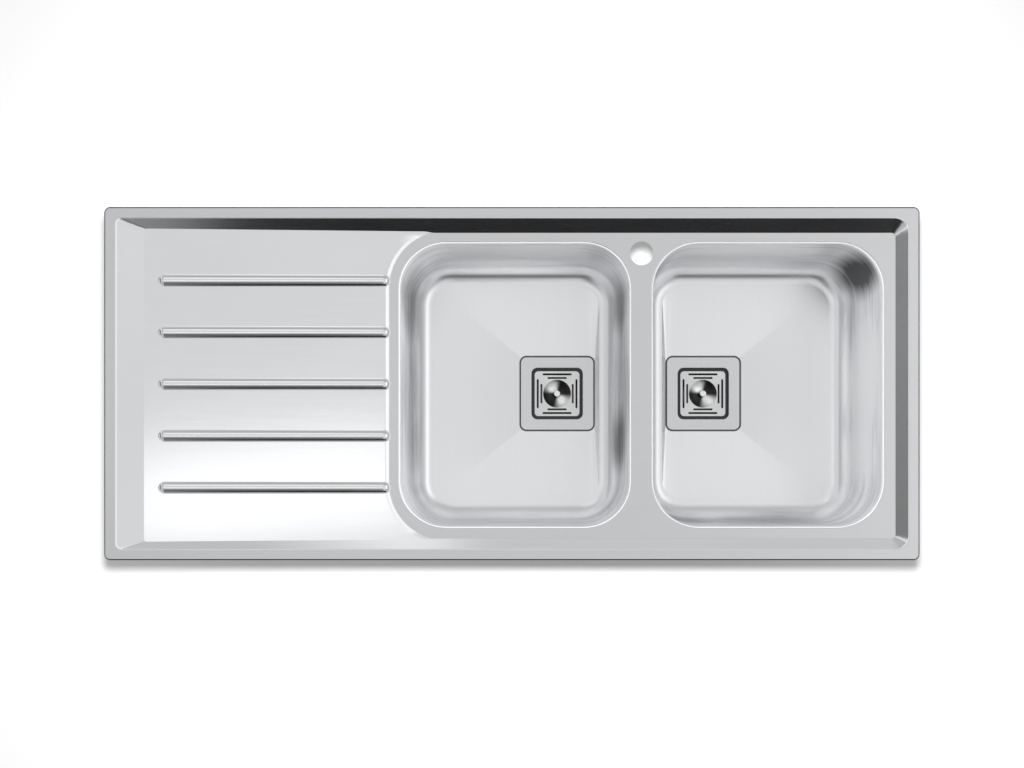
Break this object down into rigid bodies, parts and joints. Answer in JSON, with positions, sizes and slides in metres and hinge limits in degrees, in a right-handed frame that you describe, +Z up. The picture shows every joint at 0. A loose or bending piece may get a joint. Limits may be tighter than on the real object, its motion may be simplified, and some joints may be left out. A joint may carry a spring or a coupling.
{
  "type": "inset kitchen sink",
  "caption": "Inset stainless kitchen sink with a ribbed drainer on the left, two deep square bowls, square basket strainers, tap hole and worktop clips.",
  "frame": {"origin": "middle of the worktop cut-out, in the plane of the worktop that the rim seal rests on", "axes": "+X along the sink from the drainer to the bowls, +Y to the back where the tap is, +Z up"},
  "size_m": [1.2, 0.52, 0.2906],
  "materials": {
    "brushed_sheet": "satin brushed stainless sheet",
    "satin_steel": "fine satin stainless pressing",
    "polished_steel": "polished stainless turning",
    "screw_steel": "plain stainless screw",
    "zinc_steel": "bright zinc plated steel",
    "seal_foam": "closed-cell foam strip",
    "gasket_rubber": "moulded black rubber",
    "damping_pad": "bitumen damping sheet",
    "waste_plastic": "moulded black polypropylene",
    "guide_plastic": "moulded white acetal"
  },
  "bodies": {
    "sink_shell": {"sink_top": "brushed_sheet", "left_bowl": "brushed_sheet", "right_bowl": "brushed_sheet", "rim_seal": "seal_foam", "left_sound_pad": "damping_pad", "right_sound_pad": "damping_pad", "clip_brackets": "zinc_steel", "clip_screws": "zinc_steel", "left_flange_gasket": "gasket_rubber", "left_strainer_cup": "satin_steel", "left_clamp_screw": "screw_steel", "left_waste_gasket": "gasket_rubber", "left_waste_body": "waste_plastic", "right_flange_gasket": "gasket_rubber", "right_strainer_cup": "satin_steel", "right_clamp_screw": "screw_steel", "right_waste_gasket": "gasket_rubber", "right_waste_body": "waste_plastic"},
    "left_strainer": {"left_basket": "satin_steel", "left_stem_bush": "guide_plastic"},
    "left_plug": {"left_plug_stem": "polished_steel", "left_plug_knob": "polished_steel", "left_plug_stopper": "gasket_rubber"},
    "right_strainer": {"right_basket": "satin_steel", "right_stem_bush": "guide_plastic"},
    "right_plug": {"right_plug_stem": "polished_steel", "right_plug_knob": "polished_steel", "right_plug_stopper": "gasket_rubber"},
    "front_left_clip": {"front_left_claw": "zinc_steel"},
    "front_middle_clip": {"front_middle_claw": "zinc_steel"},
    "front_right_clip": {"front_right_claw": "zinc_steel"},
    "back_left_clip": {"back_left_claw": "zinc_steel"},
    "back_middle_clip": {"back_middle_claw": "zinc_steel"},
    "back_right_clip": {"back_right_claw": "zinc_steel"},
    "left_end_clip": {"left_end_claw": "zinc_steel"},
    "right_end_clip": {"right_end_claw": "zinc_steel"}
  },
  "joints": [
    {"name": "left_basket_lift", "type": "slide", "parent": "sink_shell", "child": "left_strainer", "axis": [0, 0, 1], "range_m": [0, 0.24]},
    {"name": "left_plug_pull", "type": "slide", "parent": "left_strainer", "child": "left_plug", "axis": [0, 0, 1], "range_m": [0, 0.008]},
    {"name": "right_basket_lift", "type": "slide", "parent": "sink_shell", "child": "right_strainer", "axis": [0, 0, 1], "range_m": [0, 0.24]},
    {"name": "right_plug_pull", "type": "slide", "parent": "right_strainer", "child": "right_plug", "axis": [0, 0, 1], "range_m": [0, 0.008]},
    {"name": "front_left_claw_swing", "type": "hinge", "parent": "sink_shell", "child": "front_left_clip", "pos_m": [-0.43, -0.2195, -0.046], "axis": [0, 0, 1], "range_deg": [0, 90]},
    {"name": "front_middle_claw_swing", "type": "hinge", "parent": "sink_shell", "child": "front_middle_clip", "pos_m": [0, -0.2195, -0.046], "axis": [0, 0, 1], "range_deg": [0, 90]},
    {"name": "front_right_claw_swing", "type": "hinge", "parent": "sink_shell", "child": "front_right_clip", "pos_m": [0.43, -0.2195, -0.046], "axis": [0, 0, 1], "range_deg": [0, 90]},
    {"name": "back_left_claw_swing", "type": "hinge", "parent": "sink_shell", "child": "back_left_clip", "pos_m": [-0.43, 0.2195, -0.046], "axis": [0, 0, 1], "range_deg": [0, 90]},
    {"name": "back_middle_claw_swing", "type": "hinge", "parent": "sink_shell", "child": "back_middle_clip", "pos_m": [0, 0.2195, -0.046], "axis": [0, 0, 1], "range_deg": [0, 90]},
    {"name": "back_right_claw_swing", "type": "hinge", "parent": "sink_shell", "child": "back_right_clip", "pos_m": [0.43, 0.2195, -0.046], "axis": [0, 0, 1], "range_deg": [0, 90]},
    {"name": "left_end_claw_swing", "type": "hinge", "parent": "sink_shell", "child": "left_end_clip", "pos_m": [-0.5595, 0, -0.046], "axis": [0, 0, 1], "range_deg": [0, 90]},
    {"name": "right_end_claw_swing", "type": "hinge", "parent": "sink_shell", "child": "right_end_clip", "pos_m": [0.5595, 0, -0.046], "axis": [0, 0, 1], "range_deg": [0, 90]}
  ]
}
